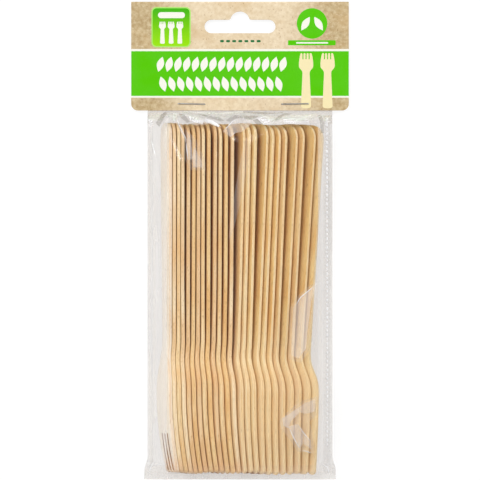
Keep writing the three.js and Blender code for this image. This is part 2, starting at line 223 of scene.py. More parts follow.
def dimmed(colour, shares):
    """A colour with each of its parts taken down to a share."""
    return tuple(c * share for c, share in zip(colour, shares))


def wood_material(name, shift, pale, dark, edge=False, painted_shade_depths=None, head=0.0, blotches=0.6):
    """Pressed birch veneer, with x across the grain and y along it. painted_shade_depths gives the
    depths below the handle's upper edge between which a face turns dark brown, painted shade in the
    gaps between the handles, and head how much lighter it is on the head, as painted light."""
    n = Nodes(name, "grain")
    fibre = n.noise((1, 0.035, 1), shift, 1.9, 4, 0.65)
    bands = n.noise((1, 0.012, 1), shift, 0.32, 2)
    blotch = n.noise((0.5, 0.22, 0.5), shift, 0.16, 2)
    pores = n.noise((1, 0.16, 1), (shift[0] + 40, shift[1], 0), 3.4, 2)
    colour = n.mix(n.span(fibre, 0.32, 0.68), dark, pale)
    colour = n.mix(n.span(bands, 0.35, 0.7, 0, 0.45), colour, pale)
    tone = n.mix(n.span(blotch, 0.4, 0.68, 0, blotches), (1, 1, 1), srgb(240, 205, 160))
    colour = n.mix(1.0, colour, tone, "MULTIPLY")
    colour = n.mix(n.span(pores, 0.6, 0.7, 0, 0.55), colour, srgb(150, 104, 56))
    # The press toasts the tips of the tines.
    y = n.axis("Y")
    toast = n.math("MULTIPLY", n.span(y, 0.001, 0.009, 0.5, 0), n.span(bands, 0.3, 0.6))
    colour = n.mix(toast, colour, srgb(230, 172, 122))
    if edge:
        plies = n.noise((0.2, 0.05, 2.6), shift, 1.0, 1)
        colour = n.mix(n.span(plies, 0.4, 0.62, 0, 0.35), colour, srgb(212, 160, 92))
    # Painted light: the faces are lighter on the head, which lessens the shade between the pressed
    # heads.
    if head:
        colour = n.mix(n.span(y, 0.04, 0.075, head, 0), colour, srgb(255, 238, 204))
    # Painted shade: a face turns dark brown with depth below the handle's upper edge, deep in the
    # gaps between the handles.
    if painted_shade_depths:
        low, high = [(depth - HANDLE_EDGE) * MM for depth in painted_shade_depths]
        uneven = n.math("MULTIPLY", n.math("SUBTRACT", bands, 0.5), 0.0012)
        deep = n.span(n.math("ADD", n.axis("X"), uneven), low, high)
        inside = n.math("MULTIPLY", deep, n.span(y, 0.152, 0.161, 1, 0))
        colour = n.mix(inside, colour, srgb(156, 90, 22))
    height = n.math("ADD", fibre, n.math("MULTIPLY", pores, -0.6))
    roughness = n.span(fibre, 0.3, 0.7, 0.62, 0.74)
    bumps = n.bump(height, 0.35, 0.12)
    return n.surface(n.glossy(colour, roughness, bumps, Specular_IOR_Level=0.25))


def film_material(name, tint, gloss, haze, sheen=0.8, bump=0.4, milk=(0.9, 0.9, 0.91)):
    """Clear film: what is behind it, a sheen that grows at a slant, and a milky haze."""
    n = Nodes(name)
    facing = n.add("ShaderNodeLayerWeight", {"Blend": 0.5}).outputs["Facing"]
    slant = n.math("POWER", facing, 2.1)
    fresnel = n.math("ADD", n.math("MULTIPLY", slant, sheen), gloss, clamp=True)
    cloud = n.noise((0.2, 0.022, 0.2), (0, 0, 0), 1.0, 1)
    ripple = n.noise((0.4, 0.1, 0.4), (0, 0, 0), 0.5, 1)
    normal = n.bump(ripple, bump, 0.35)
    clear = n.add("ShaderNodeBsdfTransparent", {"Color": tint})
    cloudy = n.add("ShaderNodeBsdfDiffuse", {"Color": milk})
    hazy = n.blend(n.span(cloud, 0.3, 0.7, haze * 0.5, haze), clear, cloudy)
    look = {"Color": (1, 1, 1), "Roughness": 0.15, "Normal": normal}
    return n.surface(n.blend(fresnel, hazy, n.add("ShaderNodeBsdfGlossy", look)))


def paper(n, colour, grain, smoothest, roughest):
    """The material of some nodes as rough paper, with its grain as bumps."""
    roughness = n.span(grain, 0.3, 0.7, smoothest, roughest)
    bumps = n.bump(grain, 0.3, 0.08)
    return n.surface(n.glossy(colour, roughness, bumps, Specular_IOR_Level=0.06))


def kraft_material():
    """Speckled kraft paper, darker towards the ends of the card."""
    n = Nodes("kraft_card")
    grain = n.noise((1, 1, 1), (0, 0, 0), 0.55, 4, 0.7)
    stain = n.noise((1, 1.4, 1), (7, 3, 0), 0.05, 3, 0.6)
    fleck = n.noise((1, 0.6, 1), (31, 11, 0), 1.5, 2, 0.5)
    fibre = n.noise((0.5, 2.4, 1), (3, 23, 0), 1.1, 2, 0.5)
    ends = n.span(n.math("ABSOLUTE", n.axis("X")), 0.02, 0.041)
    colour = n.mix(n.span(grain, 0.34, 0.66), srgb(218, 197, 163), srgb(236, 219, 190))
    worn = n.mix(n.span(grain, 0.36, 0.62), srgb(176, 150, 108), srgb(206, 187, 149))
    colour = n.mix(ends, colour, worn)
    colour = n.mix(n.span(stain, 0.5, 0.68, 0, 0.5), colour, srgb(206, 176, 130))
    colour = n.mix(n.span(fibre, 0.62, 0.72, 0, 0.35), colour, srgb(246, 232, 206))
    colour = n.mix(n.span(fleck, 0.66, 0.74, 0, 0.7), colour, srgb(158, 124, 84))
    return paper(n, colour, grain, 0.7, 0.82)


def ink_material(name, colour, second=None, low=0.0, high=1.0):
    """Print on the card, with an optional second colour from a low to a high place in y."""
    n = Nodes(name)
    grain = n.noise((1, 1, 1), (0, 0, 0), 0.55, 4, 0.7)
    mottle = n.noise((1, 1, 1), (5, 9, 0), 0.12, 2)
    worn = n.noise((1, 1, 1), (13, 2, 0), 2.2, 2)
    if second:
        colour = n.mix(n.span(n.axis("Y"), low * MM, high * MM), colour, second)
    colour = n.mix(n.span(mottle, 0.3, 0.7, 0, 0.01), colour, (1, 1, 1))
    colour = n.mix(n.span(worn, 0.7, 0.78, 0, 0.2), colour, srgb(232, 214, 184))
    return paper(n, colour, grain, 0.5, 0.62)


def steel_material():
    """Bright wire with faint lines from its drawing."""
    n = Nodes("staple_wire")
    drawn = n.noise((0.3, 3, 3), (0, 0, 0), 1.4, 3)
    colour = n.mix(n.span(drawn, 0.3, 0.7), srgb(150, 150, 154), srgb(196, 196, 200))
    roughness = n.span(drawn, 0.3, 0.7, 0.26, 0.42)
    return n.surface(n.glossy(colour, roughness, n.bump(drawn, 0.2, 0.03), Metallic=1.0))


# Building pieces


def add_object(name, data):
    """An object with a mesh, a lamp or a camera, put in the scene."""
    obj = bpy.data.objects.new(name, data)
    bpy.context.scene.collection.objects.link(obj)
    return obj


def piece(name, mesh, materials, slot, *nodes):
    """An object that rides on the pack, in place of the nodes of the solids that it names."""
    for material in materials:
        mesh.materials.append(material)
    obj = add_object(name, mesh)
    if nodes:
        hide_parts(*nodes)
    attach(obj, "root")


def smooth(mesh, angle):
    """Smooth shading, apart from edges over an angle in degrees."""
    for polygon in mesh.polygons:
        polygon.use_smooth = True
    mesh.set_sharp_from_angle(angle=math.radians(angle))
    return mesh


def to_mesh(bm, name, scale=MM):
    """A bmesh in millimetres as a mesh in metres, or with another scale."""
    bmesh.ops.scale(bm, vec=(scale, scale, scale), verts=bm.verts)
    mesh = bpy.data.meshes.new(name)
    bm.to_mesh(mesh)
    bm.free()
    return mesh


def drop_loose(bm):
    """Delete the points that no face uses."""
    bmesh.ops.delete(bm, geom=[v for v in bm.verts if not v.link_faces], context="VERTS")


def bridge(bm, rows, way=1, closed=False):
    """The faces between neighbouring rows of points."""
    faces = []
    for a, b in zip(rows, rows[1:]):
        count = len(a)
        for k in range(count if closed else count - 1):
            j = (k + 1) % count
            faces.append(bm.faces.new([a[k], a[j], b[j], b[k]][::way]))
    return faces


def bezier(points, count):
    """Points along a Bezier curve of any degree, without its first one."""
    out = []
    for k in range(1, count + 1):
        t = k / count
        row = [Vector(p) for p in points]
        while len(row) > 1:
            row = [a.lerp(b, t) for a, b in zip(row, row[1:])]
        out.append(row[0])
    return out


def arc(x, y, radius, start, end, count):
    """Points round a circle from one angle to another, in degrees, both ends included."""
    steps = [math.radians(start + (end - start) * k / count) for k in range(count + 1)]
    return [Vector((x + radius * math.cos(a), y + radius * math.sin(a))) for a in steps]


def run_at(path, k):
    """The direction of a path at one of its points."""
    return (path[min(k + 1, len(path) - 1)] - path[max(k - 1, 0)]).normalized()


def level_at(line, x):
    """The height at a place of a line through some points."""
    for (xa, ya), (xb, yb) in zip(line, line[1:]):
        if x <= xb:
            return ya + (yb - ya) * max(0.0, (x - xa) / (xb - xa))
    return line[-1][1]


def ease(t):
    """A smooth step from 0 to 1, with the share of the way as t."""
    t = min(1.0, max(0.0, t))
    return t * t * (3 - 2 * t)


def place(px, py):
    """A place in the layout of the print and the folds, in millimetres."""
    return Vector(((px - LAYOUT_MIDDLE) * STEP, CARD_TOP - (py - LAYOUT_TOP) * STEP))


# The fork


def fork_outline():
    """The outline of a fork seen flat, with x across it and y from the tips."""
    head, neck, end = HEAD_WIDTH / 2, NECK_WIDTH / 2, HANDLE_END_WIDTH / 2
    tip, pitch = TINE_WIDTH / 2, TINE_WIDTH + SLIT_WIDTH
    tips = ((TINE_COUNT - 1) * pitch + TINE_WIDTH) / 2
    neck_at = HEAD_WIDEST_AT + SHOULDER_LENGTH
    corner = end - HANDLE_END_RADIUS
    bend = SHOULDER_LENGTH / 2
    side = [(tips, tip), (head, HEAD_WIDEST_AT / 2), (head, HEAD_WIDEST_AT)]
    shoulder = [side[-1], (head, HEAD_WIDEST_AT + bend), (neck, neck_at - bend), (neck, neck_at)]
    top = [(end, HANDLE_WIDEST_AT), (end, FORK_LENGTH), (corner, FORK_LENGTH)]
    right = [Vector(side[0])] + bezier(side, 12) + bezier(shoulder, 12)
    right += [Vector(top[0])] + bezier(top, 8)
    points = right + [Vector((-p.x, p.y)) for p in reversed(right)]
    for k in range(TINE_COUNT):
        a = -tips + k * pitch
        b, c = a + TINE_WIDTH, a + pitch
        points += bezier([(a, tip), (a, -tip / 3), (b, -tip / 3), (b, tip)], 8)
        if k < TINE_COUNT - 1:
            deep = SLIT_LENGTH - tip / 2
            points.append(Vector((b, deep)))
            points += bezier([(b, deep), (b, SLIT_LENGTH), (c, SLIT_LENGTH), (c, deep)], 6)
            points.append(Vector((c, tip)))
    return points[:-1]


def rise_at(along):
    """How far the middle of the wood stands out of the handle's plane."""
    if along >= NECK_BEND_AT:
        return 0.0
    sine = math.sin(NECK_BEND_ANGLE)
    bowl_from = NECK_BEND_AT - NECK_BEND_RADIUS * sine
    if along >= bowl_from:
        turn = math.asin((along - NECK_BEND_AT) / NECK_BEND_RADIUS)
        return -NECK_BEND_RADIUS * (1 - math.cos(turn))
    turn = math.asin((bowl_from - along) / BOWL_RADIUS - sine)
    drop = -NECK_BEND_RADIUS * (1 - math.cos(NECK_BEND_ANGLE))
    return drop + BOWL_RADIUS * (math.cos(NECK_BEND_ANGLE) - math.cos(turn))


def axis_height(along):
    """Height of the fork's middle line over the surface that its long edge lies on."""
    fall = (HANDLE_END_WIDTH - HEAD_WIDTH) / 2
    return HEAD_WIDTH / 2 + fall * (along - HEAD_WIDEST_AT) / (HANDLE_WIDEST_AT - HEAD_WIDEST_AT)


BEVEL = 0.22
SLITS = [(TINE_WIDTH + SLIT_WIDTH) * (k + 1 - TINE_COUNT / 2) for k in range(TINE_COUNT - 1)]
TIP_NOSE = 2.2  # length over which the tips get round
END_NOSE = 1.8  # the same at the end of the handle
HANDLE_FROM = 48  # along, where the head starts to pass into the handle
HANDLE_BLEND = 24
# Where the fork is cut across, so that it can bend: finely up to the neck and at its ends.
CUTS = [1.5 * k for k in range(1, 44)] + [66 + 10 * k for k in range(1, 9)]
CUTS += [0.4, 0.8, FORK_LENGTH - 1.2, FORK_LENGTH - 0.7, FORK_LENGTH - 0.3]
RIM, SLIT = 1, 2  # the numbers of a fork's materials, after that of its faces


def fork_mesh():
    """The fork as it is placed: its long edge along x = 0, the hollow face at z = 0."""
    bm = bmesh.new()
    half = FORK_THICKNESS / 2
    outline = fork_outline()
    low, high = [[bm.verts.new((p.x, p.y, z)) for p in outline] for z in (-half, half)]
    bm.faces.new(high)
    bm.faces.new(low[::-1])
    for face in bridge(bm, [low, high], closed=True):
        face.material_index = RIM
    bmesh.ops.recalc_face_normals(bm, faces=bm.faces)
    rims = [e for e in bm.edges if abs(e.verts[0].co.z - e.verts[1].co.z) < 1e-6]
    bmesh.ops.bevel(
        bm, geom=rims, offset=BEVEL, segments=2, profile=0.6, affect="EDGES", clamp_overlap=True
    )
    # The walls of the slits take their own material, a darker brown wood that is painted shade.
    for face in bm.faces:
        centre = face.calc_center_median()
        in_slit = any(abs(centre.x - x) < SLIT_WIDTH / 2 + BEVEL for x in SLITS)
        if in_slit and 1 < centre.y < SLIT_LENGTH + BEVEL:
            face.material_index = SLIT
    for y in CUTS:
        cut = bm.verts[:] + bm.edges[:] + bm.faces[:]
        bmesh.ops.bisect_plane(bm, geom=cut, plane_co=(0, y, 0), plane_no=(0, 1, 0))
    slope = (axis_height(0) - axis_height(FORK_LENGTH)) / FORK_LENGTH
    turn = Matrix.Rotation(-math.atan(slope), 3, "Z")
    swell = bm.verts.layers.float.new("swell")
    for v in bm.verts:
        # The handle is a little thinner than the head, and both ends have round noses.
        handle = ease((v.co.y - HANDLE_FROM) / HANDLE_BLEND)
        tip = max(0.0, 1 - v.co.y / TIP_NOSE)
        end = max(0.0, (v.co.y - FORK_LENGTH + END_NOSE) / END_NOSE)
        v.co.z *= 1 - 0.04 * handle
        v.co.z *= math.sqrt(1 - 0.92 * tip**2)
        v.co.z *= math.sqrt(1 - 0.9 * end**2)
        v[swell] = v.co.z * (1 - handle)
        v.co.z += rise_at(v.co.y)
        v.co = turn @ v.co
    right = max(v.co.x for v in bm.verts)
    front = min(v.co.y for v in bm.verts)
    for v in bm.verts:
        v.co += Vector((-right, -front, -half))
    return smooth(to_mesh(bm, "fork", 1), 50)


def fork_places(mesh):
    """The matrix of each fork in millimetres, and half the width of their row."""
    places, tip_x, handle_x = [], 0.0, FIRST_FORK_YAW
    for number in range(1, FORK_COUNT + 1):
        share = ((number - 1) / (FORK_COUNT - 1)) ** LEAN_GROWTH
        sine = math.sin(FIRST_LEAN) + share * (math.sin(LAST_LEAN) - math.sin(FIRST_LEAN))
        lean = math.asin(sine)
        if number > 1:
            step = FORK_THICKNESS / math.cos(lean) + FORK_GAP
            tip_x += step
            handle_x += step + HANDLE_GAPS.get(number, 0)
        yaw = -math.atan((handle_x - tip_x) / FORK_LENGTH)
        turn = Matrix.Rotation(yaw, 4, "Z") @ Matrix.Rotation(math.pi / 2 + lean, 4, "Y")
        low = min((turn @ v.co).z for v in mesh.vertices)
        y = TIPS + FORK_SLIDE * math.sin(SLIDE_STEP * number)
        z = FILM + CONTENT_CLEARANCE - low
        places.append(Matrix.Translation((tip_x, y, z)) @ turn)
    left = min((places[0] @ v.co).x for v in mesh.vertices)
    right = max((places[-1] @ v.co).x for v in mesh.vertices)
    centre = Matrix.Translation((-(left + right) / 2, 0, 0))
    return [centre @ m for m in places], (right - left) / 2


fork = fork_mesh()
places, forks_half = fork_places(fork)
BAG_HALF = forks_half + SIDE_ROOM

# Pale and dark colours of the veneers. The last one is the first fork's, whose face is the palest:
# partly a paler veneer and partly painted reflection of the film that slopes over it.
TONES = [
    (srgb(252, 232, 190), srgb(240, 208, 154)),
    (srgb(248, 222, 172), srgb(232, 192, 130)),
    (srgb(252, 234, 200), srgb(243, 215, 170)),
    (srgb(250, 223, 172), srgb(238, 201, 140)),
    (srgb(246, 218, 176), srgb(230, 192, 140)),
    (srgb(255, 246, 230), srgb(254, 238, 216)),
]
PALEST = 5
ORDER = [5, 2, 0, 2, 4, 1, 4, 0, 3, 4, 0, 3, 2, 4, 2, 0, 1, 0, 3, 4, 1, 4, 1, 0]
FIRST_WIDE_FORK = 14  # from here on the forks lean so far that their faces show
# How far each gap between neighbouring handles is open. Only what differs from their mean
# moves a handle.
GAPS = [0.16, 0.18, -0.04, 0.52, 0.46, 0.18, 0.0, 0.5, 0.48, 0.14, 0.46, 0.1, 0.1]
GAPS += [0.1, 0.4, 0.16, 0.12, 0.36, 0.14, 0.3, 0.12, 0.28, 0.2]


def veneers():
    """For each tone the materials of a fork's rim, of its face where that is seen through a narrow
    gap, and of its face where it shows wide. Both faces take the tone dimmed, as painted shade."""
    out = []
    for k, (pale, dark) in enumerate(TONES):
        shift = (17.0 * k, 53.0 * k, 29.0 * k)
        rim = wood_material(f"birch_edge_{k + 1}", shift, pale, dark, edge=True)
        # The first fork's face is not dimmed: its palest tone is partly painted reflection of the
        # sloping film.
        if k == PALEST:
            face = wood_material("birch_face_pale", shift, pale, dark, blotches=0.15)
            out.append({"rim": rim, "near": face})
            continue
        # Painted shade: both faces take the tone's colours dimmed, the wide one warmer.
        near = [dimmed(colour, (0.95, 0.91, 0.8)) for colour in (pale, dark)]
        near = wood_material(f"birch_near_{k + 1}", shift, *near, painted_shade_depths=(0.4, 2), head=0.1)
        wide = [dimmed(pale, (0.96, 0.92, 0.74)), dimmed(dark, (0.94, 0.89, 0.7))]
        wide = wood_material(f"birch_wide_{k + 1}", shift, *wide, painted_shade_depths=(1.5, 9), head=0.45)
        out.append({"rim": rim, "near": near, "wide": wide})
    return out


BEND_FROM = 50  # along a fork, where its handle starts to bend aside
BEND_LENGTH = 40


def add_forks():
    """The 24 forks, each with its own tone and its own gap at the handle."""
    woods = veneers()
    # Painted shade: the walls of the slits are darker brown wood.
    slit_shade = wood_material("birch_slit_shade", (5, 7, 11), srgb(176, 122, 74), srgb(150, 98, 54))
    # Painted highlight: the forks that lean far take paler rims, for the light along their upper
    # edges.
    highlit_rim_tones = srgb(253, 236, 196), srgb(245, 218, 166)
    highlit_rim = wood_material("birch_rim_highlight", (61, 13, 37), *highlit_rim_tones, edge=True, blotches=0.4)
    metres = Matrix.Scale(MM, 4)
    usual = sum(GAPS) / len(GAPS)
    bow = 0.0
    for number, spot in enumerate(places, 1):
        name = f"fork_{number:02d}"
        mesh = fork.copy()
        mesh.name = name + "_mesh"
        if number > 1:
            bow += GAPS[number - 2] - usual
        # The heads are pressed together until they fill most of the usual gap, and the
        # handle bends aside along the row, level with the pack's back.
        across = spot.to_3x3().col[2].x
        fill = FORK_GAP * across / FORK_THICKNESS - 0.02
        aside = spot.to_3x3().transposed() @ Vector((across, 0, 0))
        swell = [item.value for item in mesh.attributes["swell"].data]
        grain = mesh.attributes.new("grain", "FLOAT_VECTOR", "POINT")
        grain.data.foreach_set("vector", [c * MM for v in mesh.vertices for c in v.co])
        for v, thick in zip(mesh.vertices, swell):
            v.co.z += fill * thick
            v.co += aside * bow * ease((v.co.y - BEND_FROM) / BEND_LENGTH)
        mesh.transform(metres @ spot)
        wood = woods[ORDER[number - 1]]
        if number < FIRST_WIDE_FORK:
            materials = (wood["near"], wood["rim"], slit_shade)
        else:
            materials = (wood["wide"], highlit_rim, slit_shade)
        piece(name + "_wood", mesh, materials, "birch", name)


add_forks()


# The film bag


OVER_FORKS = 0.75  # how far the front panel stays above their edges


def upper_edge(number, along, half_width, side):
    """The point of a fork's upper edge at a place along it, on its left or right face."""
    x = -(axis_height(along) + half_width)
    z = rise_at(along) - FORK_THICKNESS / 2 + side * FORK_THICKNESS / 2
    return places[number - 1] @ Vector((x, along, z))


def front_profiles():
    """The front panel's corner points over the forks at some places along them."""
    tips = ((TINE_COUNT - 1) * (TINE_WIDTH + SLIT_WIDTH) + TINE_WIDTH) / 2
    stations = [
        (0, tips),
        (15, HEAD_WIDTH / 2),
        (HEAD_WIDEST_AT, HEAD_WIDTH / 2),
        (HANDLE_WIDEST_AT, HANDLE_END_WIDTH / 2),
        (FORK_LENGTH, HANDLE_END_WIDTH / 2),
    ]
    out = []
    for along, half in stations:
        points = [upper_edge(k + 1, along, half, -1) for k in range(FORK_COUNT)]
        corner = upper_edge(FORK_COUNT, along, half, 1)
        row = [(p.x, p.z + OVER_FORKS) for p in points]
        row[0] = (row[0][0] - 0.4, row[0][1])
        row.append((corner.x + 0.9, corner.z + 0.4))
        out.append((along, row))
    return out


PROFILES = front_profiles()


def between(table, value):
    """The two neighbours of a value in a sorted table, and the share of the second."""
    for (a, first), (b, second) in zip(table, table[1:]):
        if value <= b:
            return first, second, min(1.0, max(0.0, (value - a) / (b - a)))
    return table[-1][1], table[-1][1], 0.0


def height_over_forks(x, along):
    """Height of the taut front panel over the forks at a place."""
    first, second, share = between(PROFILES, max(0.0, min(FORK_LENGTH, along)))
    row = [(-BAG_HALF, LEFT_CREASE_HEIGHT)]
    for (xa, za), (xb, zb) in zip(first, second):
        row.append((xa + (xb - xa) * share, za + (zb - za) * share))
    row.append((BAG_HALF, RIGHT_CREASE_HEIGHT))
    return level_at(row, x)


# Creases in the front panel: from, to, height and half width. The ones by the card are
# pleats of the gathered mouth, and the rest are slack in the film.
CREASES = [
    ((-37, 57), (-26, 30), 1.5, 3.2),
    ((-33, 58), (-13, 22), 1.1, 3.0),
    ((-29, 59), (-1, 44), 1.3, 3.0),
    ((-14, 58), (6, 43), -1.2, 3.5),
    ((24, 58), (2, 42), 1.3, 3.6),
    ((18, 56), (10, 45), 0.9, 2.4),
    ((33, 57), (20, 47), 1.0, 3.0),
    ((40, 56), (33, 40), 0.8, 2.6),
    ((-40, 50), (-34, 12), 0.5, 2.0),
    ((-41, 20), (-37, -30), 0.5, 1.8),
    ((-38, -20), (-41, -70), 0.5, 2.0),
    ((39, 5), (24, -34), 0.9, 3.2),
    ((38, -22), (29, -60), -0.7, 3.2),
    ((22, -68), (36, -96), 0.9, 3.0),
    ((39, -70), (24, -98), -0.8, 3.0),
    ((40, -60), (36, -100), 0.6, 2.0),
    ((-42, -98), (-28, -104), 0.8, 2.4),
    ((-40, -92), (-36, -106), 0.6, 2.0),
    ((42, -96), (30, -105), 0.8, 2.4),
    ((38, 40), (41, -40), 0.4, 1.6),
]
loose = random.Random(7)
for _ in range(46):
    x = loose.uniform(-40, 40)
    y = loose.uniform(-100, 55)
    angle = loose.gauss(math.pi / 2, 0.5)
    reach = loose.uniform(5, 18)
    end = (x + reach * math.cos(angle), y + reach * math.sin(angle))
    CREASES.append(((x, y), end, loose.uniform(-0.35, 0.45), loose.uniform(1.5, 4)))


def crease_height(x, y):
    """How far the creases lift the front panel at a place."""
    lift = 0.0
    for (ax, ay), (bx, by), height, width in CREASES:
        if not (min(ax, bx) - width < x < max(ax, bx) + width):
            continue
        if not (min(ay, by) - width < y < max(ay, by) + width):
            continue
        dx, dy = bx - ax, by - ay
        t = ((x - ax) * dx + (y - ay) * dy) / (dx * dx + dy * dy)
        t = min(1.0, max(0.0, t))
        away = math.hypot(x - ax - t * dx, y - ay - t * dy)
        if away < width:
            fade = min(1.0, 4 * t, 4 * (1 - t) + 0.15)
            lift += height * (1 - away / width) * max(0.0, fade)
    return lift


SEAL_END = BOTTOM + SEAL_LENGTH
SEAL_OPENING = 2.6  # length over which the bag opens from its seal
EAR_FROM = 10.5  # from the bag's bottom, where its sides start to run out to the seal
EAR_LENGTH = 6.5
BACK_FALL = 5  # length over which the back panel comes down from the seal
SEAL_PITCH = 0.9  # between the bag's sections at the seal
FORK_PITCH = 1.15  # the same over the forks
MOUTH_PITCH = 0.5  # the same at the mouth
FRONT_STEPS = 150
GUSSET_STEPS = 6
BACK_STEPS = 24


def half_width(y):
    """Half the width of the bag at a place along it, with the ears at the bottom seal."""
    return BAG_HALF + EAR_WIDTH * ease((BOTTOM + EAR_FROM - y) / EAR_LENGTH)


# Where the front panel starts to fall to the mouth, as x and y: it is gathered there.
GATHERS = [(-43, 55), (-36, 53.8), (-33, 56.5), (-30, 53.8), (-25, 57.2), (-20, 54.2)]
GATHERS += [(-13, 56.8), (-7, 53.8), (-2, 57.4), (4, 54.0), (9, 56.2), (14, 53.9)]
GATHERS += [(20, 54.8), (27, 54.0), (34, 55.2), (38, 53.9), (43, 55)]


def mouth_share(x, y):
    """How far the front panel has come down to the mouth: 0 over the forks, 1 at the card."""
    start = level_at(GATHERS, x)
    return ease((y - start) / (CARD_EDGE - start)) if y < CARD_EDGE else 1.0


def seal_share(y):
    """How far the bag has opened from its seal: 0 at the seal, 1 round the forks."""
    u = min(1.0, max(0.0, (y - SEAL_END) / SEAL_OPENING))
    return math.sqrt(1 - (1 - u) ** 2)


def front_height(x, y):
    """Height of the front panel at a place."""
    half = half_width(y)
    u = (x + half) / (2 * half)
    mouth, full = mouth_share(x, y), seal_share(y)
    edge = max(0.0, min(1.0, 12 * u, 12 * (1 - u)))
    wave = 0.35 * noise.noise((x / 11, y / 34, 0.7)) + 0.15 * noise.noise((x / 4, y / 15, 5))
    z = height_over_forks(x * BAG_HALF / half, y - TIPS)
    z += edge * (1 - 0.3 * mouth) * (crease_height(x, y) + wave)
    z = MOUTH_FRONT * mouth + z * (1 - mouth)
    return SEAL_HEIGHT + 2 * FILM * (1 - full) + (z - SEAL_HEIGHT) * full


def film_ring(y):
    """One section of the bag: back panel, left gusset, front panel, right gusset."""
    half, full = half_width(y), seal_share(y)
    handles = TIPS + FORK_LENGTH + 0.2
    mouth = ease((y - handles) / (CARD_EDGE - handles))
    back = SEAL_HEIGHT * (1 - ease((y - SEAL_END) / BACK_FALL)) + MOUTH_BACK * mouth
    fold = GUSSET_FOLD * full * (1 - mouth)
    creases = []
    for height in (LEFT_CREASE_HEIGHT, RIGHT_CREASE_HEIGHT):
        height = height * (1 - mouth) + MOUTH_FRONT * mouth
        creases.append(SEAL_HEIGHT + (height - SEAL_HEIGHT) * full)
    left, right = creases
    ring = []

    def gusset(side, low, high, seed):
        for k in range(GUSSET_STEPS):
            u = k / GUSSET_STEPS
            wave = 0.3 * noise.noise((y / 16, u * 2, seed)) * full
            inward = max(0.0, fold * (1 - abs(2 * u - 1)) + wave)
            ring.append((side * (half - inward), low + (high - low) * u))

    for k in range(BACK_STEPS):
        x = half - 2 * half * k / BACK_STEPS
        # The back panel is flat where the pack lies on it.
        slack = back > 0.5 and mouth <= 0.02
        ripple = 0.25 * noise.noise((x / 9, y / 30, 3.1)) if slack else 0.0
        ring.append((x, max(0.0, back + ripple)))
    gusset(-1, back, left, 8.4)
    for k in range(FRONT_STEPS):
        x = -half + 2 * half * k / FRONT_STEPS
        ring.append((x, front_height(x, y) if k else left))
    gusset(1, right, back, 2.2)
    return [(x, y, z) for x, z in ring]


# The film's kinds: tint, gloss and haze, and where they aren't the usual ones sheen, bump
# and the colour of the haze. The bag's own skin has the first six.
WARM = (1.0, 0.96, 0.92)
FILMS = {
    "clear": ((0.985, 0.985, 0.985), 0.012, 0.012),
    "shaded": ((0.85, 0.82, 0.79), 0.03, 0.3, 0.3, 0.1),
    "gathered": ((0.88, 0.86, 0.84), 0.01, 0.35, 0.0),
    "gusset": ((0.97, 0.97, 0.97), 0.012, 0.05, 0.2, 0.2),
    "slanted": ((0.95, 0.945, 0.94), 0.02, 0.3),
    "sealed": ((0.975, 0.972, 0.968), 0.01, 0.1, 0.05, 0.1),
    "strip": ((0.93, 0.92, 0.91), 0.02, 0.2, 0.3),
    # Painted reflection: the pale milky film of the folds.
    "folded": ((0.98, 0.97, 0.97), 0.008, 0.32, 0.1, 0.4, WARM),
    # Partly painted highlight: the white film of the pleats.
    "pleated": ((0.96, 0.96, 0.96), 0.03, 1.0, 0.1),
    # Painted shade: the dark film of the tucks.
    "tucked": ((0.74, 0.73, 0.71), 0.01, 0.1, 0.1),
    "faint": ((0.99, 0.985, 0.975), 0.005, 0.13, 0.05, 0.4, WARM),
    # Frosted film: the pressed dots of the seam, and painted highlight along the glint lines.
    "frosted_and_glint": ((0.8, 0.8, 0.8), 0.06, 1.0, 0.2),
}
SKIN = list(FILMS)[:6]
films = {kind: film_material(kind + "_film", *look) for kind, look in FILMS.items()}
GATHERED_FROM = 53.0  # along the pack
SLANTED_BEYOND = (-33.8, 35.5)  # across it, where the panel runs down to the side creases


def film_kind(step, x, y):
    """Which film the bag shows at a step round one of its sections."""
    panel = BACK_STEPS + GUSSET_STEPS
    if step < BACK_STEPS:
        return "shaded"
    if y > GATHERED_FROM:
        return "gathered"
    if y < TIPS + 1:
        return "sealed"
    if not panel <= step < panel + FRONT_STEPS or y < TIPS + 3:
        return "gusset"
    return "clear" if SLANTED_BEYOND[0] < x < SLANTED_BEYOND[1] else "slanted"


def film_mesh():
    """The bag, lofted over its sections, which lie closest at the seal and the mouth."""
    stations = [BOTTOM + SEAL_PITCH * k for k in range(3)]
    opening = [1 - math.cos(math.pi / 2 * k / 7) for k in range(1, 8)]
    stations += [SEAL_END + SEAL_OPENING * share for share in opening]
    y = stations[-1]
    while y < TIPS + FORK_LENGTH - 2:
        y += FORK_PITCH
        stations.append(y)
    while y < CARD_EDGE - MOUTH_PITCH:
        y += MOUTH_PITCH
        stations.append(y)
    stations += [CARD_EDGE, CARD_EDGE + 1, CARD_EDGE + MOUTH_INSERT]
    rings = [film_ring(y) for y in stations]
    count = len(rings[0])
    faces, kinds = [], []
    for r in range(len(rings) - 1):
        for k in range(count):
            a, b = r * count + k, r * count + (k + 1) % count
            faces.append((a, b, b + count, a + count))
            kinds.append(film_kind(k, *rings[r][k][:2]))
    mesh = bpy.data.meshes.new("film_bag_mesh")
    mesh.from_pydata([tuple(c * MM for c in p) for ring in rings for p in ring], [], faces)
    for polygon, kind in zip(mesh.polygons, kinds):
        polygon.material_index = SKIN.index(kind)
    return smooth(mesh, 40)


piece("film_bag_skin", film_mesh(), [films[kind] for kind in SKIN], "film", "film_bag")
